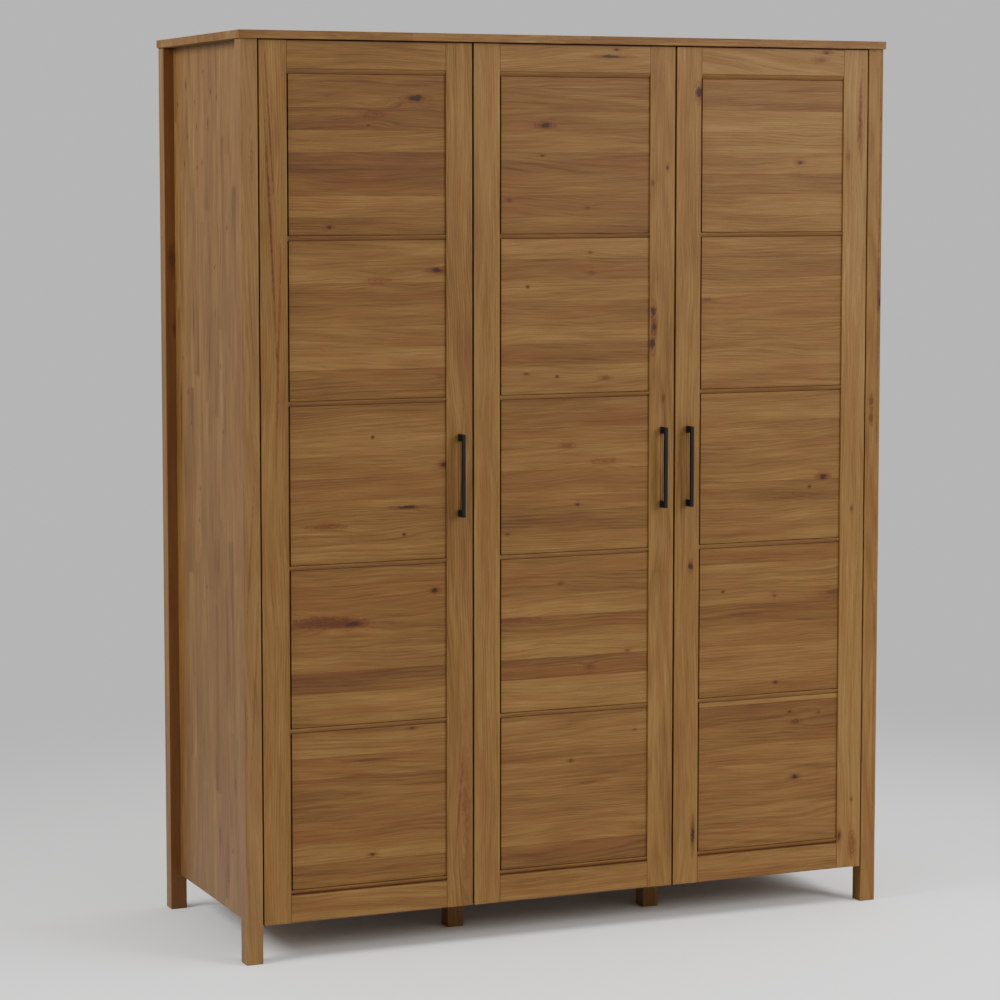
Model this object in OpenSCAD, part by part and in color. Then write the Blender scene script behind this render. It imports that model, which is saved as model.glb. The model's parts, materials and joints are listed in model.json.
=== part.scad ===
// Three-door wardrobe: corner posts with recessed side panels, and three inset doors.
// Each door is a frame of two stiles and two rails around five boards and six thin bars.
// Pieces are drawn from the floor under the outer front corner of the front left post:
// x runs to the right, y runs from the front of the posts to the back, z runs up.
// row_frame() then moves them, so that the origin is centred under the whole wardrobe.

/* [Overall] */
// Height of the wardrobe
height = 2000; // [1950:5:2100]
// Width over the corner posts
post_span = 1547; // [1480:1:1620]
// Depth over the corner posts
post_depth = 592; // [560:1:640]

/* [Carcass] */
// Side of a square corner post
post_w = 38; // [34:1:42]
// Thickness of the top, the bottom, the partition and the shelves
board_t = 18; // [16:1:20]
// Thickness of a side panel
side_t = 14; // [12:1:18]
// How far the top stands out past the posts at each side
top_lip_side = 4.5; // [0:0.5:8]
// How far the top stands out past the posts at the front
top_lip_front = 5; // [0:0.5:8]
// Height of the side panels' bottom edge above the floor
side_floor_gap = 79; // [60:1:88]
// Height of the bottom panel's underside above the floor
bottom_floor_gap = 90; // [86:1:100]
// Distance from the front of the posts to the middle legs
leg_setback = 147; // [120:1:180]
// Distance from a door gap's middle to the near side of its middle leg, to the left
leg_offset = 3; // [0:1:10]
// Thickness of the back panels
back_t = 6; // [4:1:8]
// Thickness of the rails behind the back panels
back_rail_t = 12; // [10:1:14]
// Height of the rails behind the back panels
back_rail_h = 70; // [50:5:90]
// Height of the rail behind the tops of the doors
front_rail_h = 50; // [40:5:60]

/* [Doors] */
// Thickness of a door frame
door_t = 22; // [20:1:24]
// Height of the doors' bottom edge above the floor
door_floor_gap = 84.5; // [80:0.5:88]
// Gap between the doors and the top
door_top_gap = 2.5; // [2:0.5:4]
// Gap between a door and its corner post
post_gap = 3; // [2:0.5:4]
// Gap between two doors
door_gap = 4; // [3:0.5:5]
// Width of a stile
stile_w = 61; // [55:1:70]
// Height of the top rail
top_rail_h = 60; // [50:1:70]
// Height of the bottom rail
bottom_rail_h = 61; // [50:1:70]
// Height of a bar between two boards
bar_h = 9.5; // [8:0.5:12]
// How far the boards' faces lie behind the frame
recess = 4; // [3:0.5:5]
// Open gap between the boards and the stile on their left
left_board_gap = 5; // [1:0.5:6]
// Open gap between the boards and the stile on their right
right_board_gap = 0; // [0:0.5:3]

/* [Handles] */
// Height of the handles' middle above the floor
handle_z = 1042.5; // [900:0.5:1150]
// Length of a handle
handle_len = 181; // [176:1:200]
// Side of the handle's square bar
handle_bar = 7; // [7:0.5:9]
// Height of a handle's foot
handle_foot_h = 14.5; // [14:0.5:16]
// How far a handle stands out from its door
handle_out = 26; // [22:1:32]
// Distance between the two screws of a handle
handle_pitch = 160; // [158:1:160]

/* [Interior] */
// Diameter of the hanging rail
rail_d = 25; // [20:1:30]
// Height of the hanging rail's middle above the floor
rail_z = 1600; // [1500:10:1620]
// Height of the hat shelf's underside above the floor
hat_shelf_z = 1660; // [1650:10:1700]

/* [Hidden] */
$fn = 48;
FRONT_RAIL_T = 18;
SHELF_Z = [450, 815, 1180, 1545]; // undersides of the four shelves, clear of the hinges
DOOR_NAMES = ["left_door", "middle_door", "right_door"];
HINGED_LEFT = [true, true, false];
BOARDS = 5;
HINGES = 4;

// Places along x, y and z that several pieces share
top_z = height - board_t;
bay_left = post_w;
bay_right = post_span - post_w;
door_w = (post_span - 2 * post_w - 2 * post_gap - 2 * door_gap) / 3;
door_top = top_z - door_top_gap;
door_h = door_top - door_floor_gap;
carcass_front = door_t + 2;
back_panel_y = post_depth - back_rail_t - back_t;
bottom_top = bottom_floor_gap + board_t;
partition_x = door_x(1) - door_gap / 2 - board_t / 2;
left_bay_right = partition_x;
right_bay_left = partition_x + board_t;
row_shift = [-post_span / 2, -(post_depth - handle_out) / 2, 0];

// The opening inside a door frame, which the boards and bars fill
opening_w = door_w - 2 * stile_w;
opening_z = door_floor_gap + bottom_rail_h;
opening_h = door_h - bottom_rail_h - top_rail_h;
bar_pitch = (opening_h - bar_h) / BOARDS;

// Section of the bars, boards and grooves, from the front of the door frame
BAR_NOSE_TOP_Y = 0.5;
BAR_NOSE_FOOT_Y = 4.5;
BAR_NOSE_BACK_Y = 10;
BAR_WEB_Z = 3;
BAR_WEB_H = 3.5;
TONGUE_Y = 10.2;
TONGUE_BACK_Y = 16;
TONGUE_SIDE = 6;
TONGUE_END = 2.5;
GROOVE_Y = 9.9;
GROOVE_W = 6.4;
GROOVE_DEPTH = 8;
BOARD_FOOT_GAP = 1.1;
BOARD_HEAD_GAP = 0.8;

// Concealed hinges with 35 mm cups
CUP_R = 17.4;
CUP_BORE_R = 17.5;
CUP_WALL = 1.2;
CUP_DEPTH = 12;
CUP_INSET = 22.5;
CUP_FLANGE_T = 1.2;
CUP_FLANGE_R = 19;
CUP_SCREW_X = 9.5;
CUP_SCREW_Z = 22.5;
CUP_EAR_R = 6;
HINGE_END = 100;
PLATE_Y = 41;
PLATE_LEN = 36;
PLATE_T = 2.5;
PLATE_SPINE_T = 9;
PLATE_SPINE_W = 14;
PLATE_WING_W = 52;
ARM_T = 4;
ARM_W = 16;
ARM_BACK_Y = 92;
ARM_TIP_Y = door_t + 2.8;
ARM_TIP_T = 4.2;
hinge_step = (door_h - 2 * HINGE_END) / (HINGES - 1);

// Screws and pins
WOOD_SCREW_R = 1.65;
WOOD_SCREW_LEN = 11;
WOOD_SCREW_HEAD_R = 3.2;
WOOD_SCREW_HEAD_H = 1.6;
HANDLE_SCREW_R = 1.95;
HANDLE_SCREW_IN = 13;
HANDLE_SCREW_HEAD_R = 4;
HANDLE_SCREW_HEAD_H = 1.8;
HOLE_PLAY = 0.05;
PIN_R = 2.5;
PIN_LEN = 16;
PIN_FRONT_Y = 70;
PIN_BACK_Y = 530;

// Hanging rail and its sockets
RAIL_WALL = 1.2;
SOCKET_FLANGE_R = 22;
SOCKET_FLANGE_T = 4;
SOCKET_RING_R = 17;
SOCKET_LEN = 16;
rail_y = carcass_front + (back_panel_y - carcass_front) / 2;

// Clearance of the shelves, and the setback of their front edges
SHELF_SIDE_GAP = 1;
SHELF_FRONT_Y = 32;
SHELF_BACK_GAP = 2;

OAK = [0.53, 0.38, 0.22];
OAK_LIGHT = [0.57, 0.43, 0.29];
PLYWOOD = [0.66, 0.53, 0.37];
BLACK = [0.07, 0.07, 0.08];
STEEL = [0.72, 0.72, 0.74];

// ---- Places ----

function door_x(door) = post_w + post_gap + door * (door_w + door_gap);
function hinge_z(i) = door_floor_gap + HINGE_END + i * hinge_step;
function bar_z(i) = opening_z + i * bar_pitch;

module row_frame() {
    translate(row_shift) children();
}

// Draws a door's own pieces with x running from its hinged edge to its free edge.
module from_hinged_edge(door) {
    if (HINGED_LEFT[door]) translate([door_x(door), 0, 0]) children();
    else translate([door_x(door) + door_w, 0, 0]) mirror([1, 0, 0]) children();
}

// Draws a hinge's fixed pieces with x running out from the face that carries them.
module from_hinge_face(door) {
    if (door == 0) translate([bay_left, 0, 0]) children();
    if (door == 1) translate([right_bay_left, 0, 0]) children();
    if (door == 2) translate([bay_right, 0, 0]) mirror([1, 0, 0]) children();
}

// Distance from that face to the middle of the hinge's cup.
function crank(door) =
    door == 1 ? door_x(1) + CUP_INSET - right_bay_left : post_gap + CUP_INSET;

// A rod along +y from the point [x, y, z].
module rod_y(x, y, z, r, length) {
    translate([x, y, z]) rotate([-90, 0, 0]) cylinder(r = r, h = length);
}

// A rod along +x from the point [x, y, z].
module rod_x(x, y, z, r, length) {
    translate([x, y, z]) rotate([0, 90, 0]) cylinder(r = r, h = length);
}

// ---- Carcass ----

module top_panel() {
    color(OAK) row_frame()
        translate([-top_lip_side, -top_lip_front, top_z])
            cube([post_span + 2 * top_lip_side, post_depth + top_lip_front, board_t]);
}

module post(x, y) {
    color(OAK) row_frame()
        translate([x, y, 0]) cube([post_w, post_w, top_z]);
}

// The left bay's shelf pins, seen from its left face, and the hat shelf's from its own.
module shelf_pin_rods(face_x, undersides, r, depth, proud) {
    for (z = undersides) for (y = [PIN_FRONT_Y, PIN_BACK_Y])
        rod_x(face_x - depth, y, z - PIN_R, r, depth + proud);
}

module side_panel(x) {
    color(OAK_LIGHT) row_frame()
        translate([x, post_w, side_floor_gap])
            cube([side_t, post_depth - 2 * post_w, top_z - side_floor_gap]);
}

module left_side_panel() {
    difference() {
        side_panel(post_w - side_t);
        row_frame() shelf_pin_rods(bay_left, SHELF_Z, PIN_R + HOLE_PLAY, PIN_LEN / 2, 1);
    }
}

module right_side_panel() {
    difference() {
        side_panel(bay_right);
        row_frame() translate([bay_right, 0, 0]) mirror([1, 0, 0])
            shelf_pin_rods(0, [hat_shelf_z], PIN_R + HOLE_PLAY, PIN_LEN / 2, 1);
    }
}

module bottom_panel() {
    color(OAK) row_frame()
        translate([bay_left, carcass_front, bottom_floor_gap])
            cube([bay_right - bay_left, back_panel_y - carcass_front, board_t]);
}

module partition() {
    color(OAK) difference() {
        row_frame() translate([partition_x, carcass_front, bottom_top])
            cube([board_t, back_panel_y - carcass_front, top_z - bottom_top]);
        // the notch that the front rail passes through
        row_frame() translate([partition_x - 1, carcass_front - 1, top_z - front_rail_h])
            cube([board_t + 2, FRONT_RAIL_T + 1, front_rail_h + 1]);
        row_frame() translate([left_bay_right, 0, 0]) mirror([1, 0, 0])
            shelf_pin_rods(0, SHELF_Z, PIN_R + HOLE_PLAY, PIN_LEN / 2, 1);
        row_frame()
            shelf_pin_rods(right_bay_left, [hat_shelf_z], PIN_R + HOLE_PLAY, PIN_LEN / 2, 1);
    }
}

module middle_legs() {
    color(OAK) row_frame()
        for (door = [1, 2]) for (y = [leg_setback, post_depth - leg_setback - post_w])
            translate([door_x(door) - door_gap / 2 - leg_offset, y, 0])
                cube([post_w, post_w, bottom_floor_gap]);
}

module back_panel(x_from, x_to) {
    color(PLYWOOD) row_frame()
        translate([x_from, back_panel_y, bottom_floor_gap])
            cube([x_to - x_from, back_t, top_z - bottom_floor_gap]);
}

module top_front_rail() {
    color(OAK) row_frame()
        translate([bay_left, carcass_front, top_z - front_rail_h])
            cube([bay_right - bay_left, FRONT_RAIL_T, front_rail_h]);
}

module back_rails() {
    color(OAK) row_frame()
        for (z = [bottom_floor_gap, top_z - back_rail_h])
            translate([bay_left, post_depth - back_rail_t, z])
                cube([bay_right - bay_left, back_rail_t, back_rail_h]);
}

// ---- Interior ----

module shelf(x_from, x_to, z) {
    translate([x_from + SHELF_SIDE_GAP, SHELF_FRONT_Y, z])
        cube([x_to - x_from - 2 * SHELF_SIDE_GAP,
              back_panel_y - SHELF_BACK_GAP - SHELF_FRONT_Y, board_t]);
}

module left_shelves() {
    color(OAK) row_frame() for (z = SHELF_Z) shelf(bay_left, left_bay_right, z);
}

module hat_shelf() {
    color(OAK) row_frame() shelf(right_bay_left, bay_right, hat_shelf_z);
}

module shelf_pins() {
    half = PIN_LEN / 2;
    color(STEEL) row_frame() {
        shelf_pin_rods(bay_left, SHELF_Z, PIN_R, half, half);
        translate([left_bay_right, 0, 0]) mirror([1, 0, 0])
            shelf_pin_rods(0, SHELF_Z, PIN_R, half, half);
        shelf_pin_rods(right_bay_left, [hat_shelf_z], PIN_R, half, half);
        translate([bay_right, 0, 0]) mirror([1, 0, 0])
            shelf_pin_rods(0, [hat_shelf_z], PIN_R, half, half);
    }
}

module hanging_rail() {
    rail_from = right_bay_left + SOCKET_FLANGE_T;
    rail_len = bay_right - right_bay_left - 2 * SOCKET_FLANGE_T;
    color(STEEL) row_frame() difference() {
        rod_x(rail_from, rail_y, rail_z, rail_d / 2, rail_len);
        rod_x(rail_from - 1, rail_y, rail_z, rail_d / 2 - RAIL_WALL, rail_len + 2);
    }
}

// A socket on a face at x = 0, pointing along +x.
module rail_socket() {
    difference() {
        union() {
            rod_x(0, rail_y, rail_z, SOCKET_FLANGE_R, SOCKET_FLANGE_T);
            rod_x(0, rail_y, rail_z, SOCKET_RING_R, SOCKET_LEN);
        }
        rod_x(SOCKET_FLANGE_T, rail_y, rail_z, rail_d / 2 + HOLE_PLAY, SOCKET_LEN);
    }
}

module rail_sockets() {
    color(STEEL) row_frame() {
        translate([right_bay_left, 0, 0]) rail_socket();
        translate([bay_right, 0, 0]) mirror([1, 0, 0]) rail_socket();
    }
}

// ---- Hinges ----

// A cross-shaped plate: a long spine with two wings for the screws.
module hinge_plate(z) {
    translate([0, PLATE_Y, z - PLATE_SPINE_W / 2])
        cube([PLATE_SPINE_T, PLATE_LEN, PLATE_SPINE_W]);
    translate([0, PLATE_Y + PLATE_LEN / 3, z - PLATE_WING_W / 2])
        cube([PLATE_T, PLATE_LEN / 3, PLATE_WING_W]);
}

module hinge_plates() {
    color(STEEL) row_frame() for (door = [0:2]) for (i = [0:HINGES - 1])
        from_hinge_face(door) hinge_plate(hinge_z(i));
}

// The arm lies on the plate's spine and cranks out over the cup.
module hinge_arm(z, reach) {
    near = PLATE_SPINE_T + 0.2;
    far = near + ARM_T;
    tip_half = 9;
    translate([0, 0, z - ARM_W / 2]) linear_extrude(ARM_W) polygon([
        [near, ARM_BACK_Y], [near, PLATE_Y],
        [reach - tip_half, ARM_TIP_Y + ARM_TIP_T + 1], [reach - tip_half, ARM_TIP_Y],
        [reach + tip_half, ARM_TIP_Y], [reach + tip_half, ARM_TIP_Y + ARM_TIP_T],
        [far + (reach - far) / 3, PLATE_Y + 1], [far, PLATE_Y + 8], [far, ARM_BACK_Y]]);
}

module hinge_arms() {
    color(STEEL) row_frame() for (door = [0:2]) for (i = [0:HINGES - 1])
        from_hinge_face(door) hinge_arm(hinge_z(i), crank(door));
}

// ---- Doors ----

// The groove in a stile that takes the side tongues of the boards and bars.
module stile_groove(x) {
    translate([x, GROOVE_Y, opening_z]) cube([GROOVE_DEPTH + 1, GROOVE_W, opening_h]);
}

module cup_screw_rods(z, y, r, length) {
    for (side = [-1, 1])
        rod_y(CUP_INSET + CUP_SCREW_X, y, z + side * CUP_SCREW_Z, r, length);
}

module hinge_stile(door) {
    color(OAK) row_frame() from_hinged_edge(door) difference() {
        translate([0, 0, door_floor_gap]) cube([stile_w, door_t, door_h]);
        stile_groove(stile_w - GROOVE_DEPTH);
        for (i = [0:HINGES - 1]) {
            rod_y(CUP_INSET, door_t - CUP_DEPTH, hinge_z(i), CUP_BORE_R, CUP_DEPTH + 1);
            cup_screw_rods(hinge_z(i), door_t - WOOD_SCREW_LEN,
                WOOD_SCREW_R + HOLE_PLAY, WOOD_SCREW_LEN + 1);
        }
    }
}

// The handle's screws run forward from the back of the lock stile.
module handle_screw_rods(y, r, length) {
    for (side = [-1, 1])
        rod_y(door_w - stile_w / 2, y, handle_z + side * handle_pitch / 2, r, length);
}

module lock_stile(door) {
    color(OAK) row_frame() from_hinged_edge(door) difference() {
        translate([door_w - stile_w, 0, door_floor_gap]) cube([stile_w, door_t, door_h]);
        stile_groove(door_w - stile_w - 1);
        handle_screw_rods(-1, HANDLE_SCREW_R + HOLE_PLAY, door_t + 2);
    }
}

module door_rail(door, z, rail_h) {
    color(OAK) row_frame() translate([door_x(door) + stile_w, 0, z])
        cube([opening_w, door_t, rail_h]);
}

// One bar: a nose that slopes back towards its foot, and a web between the boards' tongues.
module bar(door, z) {
    translate([door_x(door) + stile_w, 0, z]) {
        rotate([90, 0, 90]) linear_extrude(opening_w) polygon([
            [BAR_NOSE_TOP_Y, bar_h], [BAR_NOSE_FOOT_Y, 0],
            [BAR_NOSE_BACK_Y, 0], [BAR_NOSE_BACK_Y, bar_h]]);
        translate([0, BAR_NOSE_BACK_Y - 1, BAR_WEB_Z])
            cube([opening_w, TONGUE_BACK_Y - BAR_NOSE_BACK_Y + 1, BAR_WEB_H]);
        translate([-TONGUE_SIDE, TONGUE_Y, BAR_WEB_Z])
            cube([opening_w + 2 * TONGUE_SIDE, TONGUE_BACK_Y - TONGUE_Y, BAR_WEB_H]);
    }
}

module bars(door) {
    color(OAK) row_frame() for (i = [0:BOARDS]) bar(door, bar_z(i));
}

// Board i, counted up from 1 at the bottom: its face, and the tongue round all four sides.
module board(door, i) {
    foot = bar_z(i - 1) + bar_h;
    head = bar_z(i);
    color(OAK) row_frame() translate([door_x(door) + stile_w, 0, 0]) {
        translate([left_board_gap, recess, foot + BOARD_FOOT_GAP])
            cube([opening_w - left_board_gap - right_board_gap, TONGUE_BACK_Y - recess,
                  head - foot - BOARD_FOOT_GAP - BOARD_HEAD_GAP]);
        translate([-TONGUE_SIDE, TONGUE_Y, foot - TONGUE_END])
            cube([opening_w + 2 * TONGUE_SIDE, TONGUE_BACK_Y - TONGUE_Y,
                  head - foot + 2 * TONGUE_END]);
    }
}

// A square bar on two deep feet, each with a blind threaded hole for its screw.
module handle(door) {
    x = door_w - (stile_w + handle_bar) / 2;
    z = handle_z - handle_len / 2;
    color(BLACK) row_frame() from_hinged_edge(door) difference() {
        union() {
            translate([x, -handle_out, z]) cube([handle_bar, handle_bar, handle_len]);
            for (foot_z = [z, z + handle_len - handle_foot_h])
                translate([x, -handle_out, foot_z])
                    cube([handle_bar, handle_out, handle_foot_h]);
        }
        handle_screw_rods(-HANDLE_SCREW_IN - 1, HANDLE_SCREW_R + HOLE_PLAY,
            HANDLE_SCREW_IN + 2);
    }
}

// The two handle screws, and two wood screws through the ears of each hinge cup.
module screws(door) {
    color(STEEL) row_frame() from_hinged_edge(door) {
        handle_screw_rods(-HANDLE_SCREW_IN, HANDLE_SCREW_R, HANDLE_SCREW_IN + door_t);
        handle_screw_rods(door_t, HANDLE_SCREW_HEAD_R, HANDLE_SCREW_HEAD_H);
        for (i = [0:HINGES - 1]) {
            cup_screw_rods(hinge_z(i), door_t - WOOD_SCREW_LEN + 1, WOOD_SCREW_R,
                WOOD_SCREW_LEN - 1);
            cup_screw_rods(hinge_z(i), door_t, WOOD_SCREW_HEAD_R, WOOD_SCREW_HEAD_H);
        }
    }
}

// A round cup let into the stile, with a flange and two ears on the stile's back.
module hinge_cup(z) {
    inner_r = CUP_R - CUP_WALL;
    difference() {
        union() {
            rod_y(CUP_INSET, door_t - CUP_DEPTH, z, CUP_R, CUP_DEPTH);
            rod_y(CUP_INSET, door_t, z, CUP_FLANGE_R, CUP_FLANGE_T);
            for (side = [-1, 1]) {
                rod_y(CUP_INSET + CUP_SCREW_X, door_t, z + side * CUP_SCREW_Z,
                    CUP_EAR_R, CUP_FLANGE_T);
                translate([CUP_INSET + CUP_SCREW_X - CUP_EAR_R, door_t,
                           z + (side < 0 ? -CUP_SCREW_Z : 0)])
                    cube([2 * CUP_EAR_R, CUP_FLANGE_T, CUP_SCREW_Z]);
            }
        }
        rod_y(CUP_INSET, door_t - CUP_DEPTH + CUP_WALL, z, inner_r, CUP_DEPTH + 2);
        cup_screw_rods(z, door_t - 1, WOOD_SCREW_HEAD_R + HOLE_PLAY, CUP_FLANGE_T + 2);
    }
}

module hinge_cups(door) {
    color(STEEL) row_frame() from_hinged_edge(door)
        for (i = [0:HINGES - 1]) hinge_cup(hinge_z(i));
}

// ---- The nodes ----

top_panel();
post(0, 0);  // front_left_post
post(bay_right, 0);  // front_right_post
post(0, post_depth - post_w);  // back_left_post
post(bay_right, post_depth - post_w);  // back_right_post
left_side_panel();
right_side_panel();
bottom_panel();
partition();
middle_legs();
back_panel(bay_left, door_x(1) - door_gap / 2);  // left_back_panel
back_panel(door_x(1) - door_gap / 2, bay_right);  // right_back_panel
top_front_rail();
back_rails();
left_shelves();
hat_shelf();
shelf_pins();
hanging_rail();
rail_sockets();
hinge_plates();
hinge_arms();
for (door = [0:2]) {
    name = DOOR_NAMES[door];
    hinge_stile(door);
    lock_stile(door);
    door_rail(door, door_top - top_rail_h, top_rail_h);
    door_rail(door, door_floor_gap, bottom_rail_h);
    bars(door);
    handle(door);
    screws(door);
    hinge_cups(door);
    for (i = [1:BOARDS])
        board(door, i);
}
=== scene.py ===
"""The looks of an oiled-oak wardrobe with three doors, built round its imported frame."""

import json
import math
import random

import bmesh
import bpy
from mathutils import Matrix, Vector


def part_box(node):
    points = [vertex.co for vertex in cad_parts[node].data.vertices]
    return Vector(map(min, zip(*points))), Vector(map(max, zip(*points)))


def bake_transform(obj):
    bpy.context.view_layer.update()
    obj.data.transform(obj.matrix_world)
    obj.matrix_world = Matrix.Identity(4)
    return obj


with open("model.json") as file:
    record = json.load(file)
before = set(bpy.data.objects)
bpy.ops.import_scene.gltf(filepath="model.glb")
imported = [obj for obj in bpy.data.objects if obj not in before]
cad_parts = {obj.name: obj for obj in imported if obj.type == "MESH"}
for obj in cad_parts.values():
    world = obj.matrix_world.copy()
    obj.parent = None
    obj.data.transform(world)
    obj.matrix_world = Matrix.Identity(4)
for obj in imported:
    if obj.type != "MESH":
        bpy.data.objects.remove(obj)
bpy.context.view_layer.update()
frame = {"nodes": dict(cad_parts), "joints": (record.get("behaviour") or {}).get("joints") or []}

MM = 0.001
X, Y, Z = 0, 1, 2

# The camera: a long lens in mm, its place in metres and its pitch and turn in degrees
LENS = 110.3
SHIFT_Y = -0.05
CAMERA_PLACE = (-2.8022, -6.4478, 1.7007)
CAMERA_PITCH = 84.83
CAMERA_TURN = -23.03

# The hinges' links: paths in mm from the arm's tip into the cup, measured from the corner that the door
# turns about, and each link's height
HINGES = 4
HINGE_END = 100 * MM
OUTER_LINK = ((22.5, 27), (34, 27.5), (38, 23), (36, 16), (33, 13))
INNER_LINK = ((22.5, 25.5), (29, 25.5), (32, 22), (31, 16), (29, 12.5))
OUTER_LINK_HEIGHT = 20 * MM
INNER_LINK_HEIGHT = 12 * MM
LINK_THICKNESS = 1.4 * MM
PATH_STEPS = 6

# The room's colour, how bright it looks behind the wardrobe and how strongly it lights it
ROOM_COLOUR = (1.0, 1.0, 0.985)
ROOM_SEEN = 0.66
ROOM_GLOW = 0.55
FLOOR_COLOUR = (0.83, 0.83, 0.82, 1)
FLOOR_RADIUS = 9

# The floor fades into the room from the first of these distances to the second, round a place in front
FADE_CENTRE = (0, -0.7, 0)
FADE_START = 0.9
FADE_END = 3.6

DOORS = ("left_door", "middle_door", "right_door")

# Oak: colours from its darkest streaks to its palest, in linear light
OAK_COLOURS = (
    (0.00, (0.034, 0.012, 0.003)),
    (0.28, (0.080, 0.032, 0.007)),
    (0.50, (0.127, 0.061, 0.014)),
    (0.74, (0.183, 0.097, 0.026)),
    (1.00, (0.255, 0.152, 0.054)),
)
RED_OAK = (0.125, 0.041, 0.0095)
# The dark brown of pores and oiled joints, also used for the painted shade at the foot of the door bars
PORE_AND_SHADE_BROWN = (0.075, 0.022, 0.008)
KNOT_BROWN = (0.052, 0.021, 0.004)
KNOT_CORE = (0.030, 0.008, 0.005)
KNOT_RED = (0.076, 0.022, 0.005)
PLY_COLOURS = (
    (0.00, (0.150, 0.082, 0.034)),
    (0.50, (0.260, 0.160, 0.076)),
    (1.00, (0.350, 0.240, 0.130)),
)

# The boards and the side panels are glued up from staves of this width
STAVE = 46.6 * MM
STAVE_LENGTH = 420 * MM
FINGER = 5 * MM
JOINT_LINE = 2.0 * MM
SEAM = 1.2 * MM
# How deep the painted shade on a piece's front face reaches, and how deep a knot runs
SHADED_FACE_DEPTH = 4 * MM
KNOT_DEPTH = 26 * MM

# The figure's scales, in waves per metre along the grain, across it and into the depth
WANDER = (2.4, 6.0, 6.0)
WAVER = (8.0, 22.0, 22.0)
VIVIDNESS = (2.2, 22.0, 22.0)
BAND = (2.6, 26.0, 26.0)
STREAK = (4.0, 105.0, 105.0)
FIBRE = (11.0, 430.0, 430.0)
BLUSH = (3.5, 30.0, 30.0)
PORE = (90.0, 1900.0, 1900.0)
WOBBLE = (70.0, 130.0, 130.0)
PLY_WAVE = (0.7, 3.2, 3.2)
PLY_FIBRE = (8.0, 420.0, 420.0)
PLY_PORE = (90.0, 1700.0, 1700.0)

# How far the grain wanders and wavers sideways, in metres
WANDER_REACH = 0.042
WAVER_REACH = 0.009

# How much each part of the figure adds to the wood's shade, and what brings the sum back to the middle
BAND_SHADE = 0.48
STREAK_SHADE = 0.38
FIBRE_SHADE = 0.62
RING_SHADE = -0.145
LEVEL_SHADE = 0.066

# Growth rings: the narrowest, and how much wider they get, in metres
RING = 0.0040
RING_SPREAD = 0.0028

# The log's pith: its least depth, how much deeper it may lie, how far to a side and how much it leans
PITH_DEPTH = 0.010
PITH_SPREAD = 0.07
PITH_SIDE = 0.14
PITH_LEAN = 0.06

# How much stronger the figure is where the wood is made of short staves
MOSAIC_CONTRAST = 1.4

# How far apart the grain's seeds of two neighbouring pieces are
SEED_STEP = 0.37

# A knot's parts, as distances in its own half sizes at which each one begins and ends
KNOT_PUSH = (0.2, 2.8)
KNOT_HALO_REACH = (0.5, 2.0)
PALE_HALO_REACH = (0.25, 1.55)
KNOT_CORE_REACH = (0.45, 1.15)
KNOT_HOLLOW_REACH = (0.0, 0.6)
KNOT_SWIRLS = 13.0
KNOT_ROUGHNESS = 2.4

# Small scattered knots: cells per metre along the grain and across it
SPECKS_ALONG = 14.0
SPECKS_ACROSS = 17.0

# The thin bars between a door's boards
BARS = 6
BAR_HEIGHT = 9.5 * MM
LATTICE_TOP = 1977.5 * MM

# A stave's shade and redness, by letter: dark, brown, medium, tan, light and reddish
SHADES = {
    "d": (-0.14, 0.25),
    "b": (-0.06, 0.15),
    "m": (0.00, 0.10),
    "t": (0.05, 0.00),
    "l": (0.11, 0.00),
    "r": (-0.04, 0.60),
}

# The staves of each door's boards, from the top board to the bottom one and from the top down
STAVES = {
    "left_door": ("mmbtdrlb", "tmtbmmlb", "bmtmrmmt", "mrmmtdtt", "mtmbbrtb"),
    "middle_door": ("mbmtbmrb", "rlbtbtbt", "bbmlrmbt", "mbtbldll", "btmmbmtd"),
    "right_door": ("bbltmbmm", "lbbmrmmm", "mtmbmbmm", "rtmdmtmm", "ldbmmbmm"),
}

# How steeply the grain runs off along a piece, where it isn't straight
SLOPES = {
    "right_door_top_rail": 0.13,
    "middle_door_top_rail": -0.05,
    "left_door_lock_stile": 0.03,
    "front_left_post": 0.04,
}

# How much paler (above 0) or darker (below 0) a piece is than others of its kind
TONES = {
    "left_door_board_5": -0.06,
    "left_door_top_rail": -0.06,
    "left_door_lock_stile": -0.05,
    "middle_door_board_5": -0.04,
    "middle_door_hinge_stile": 0.04,
    "right_door_board_5": 0.04,
    "right_door_board_4": 0.04,
    "right_door_hinge_stile": 0.08,
    "right_door_top_rail": 0.08,
}

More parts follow.
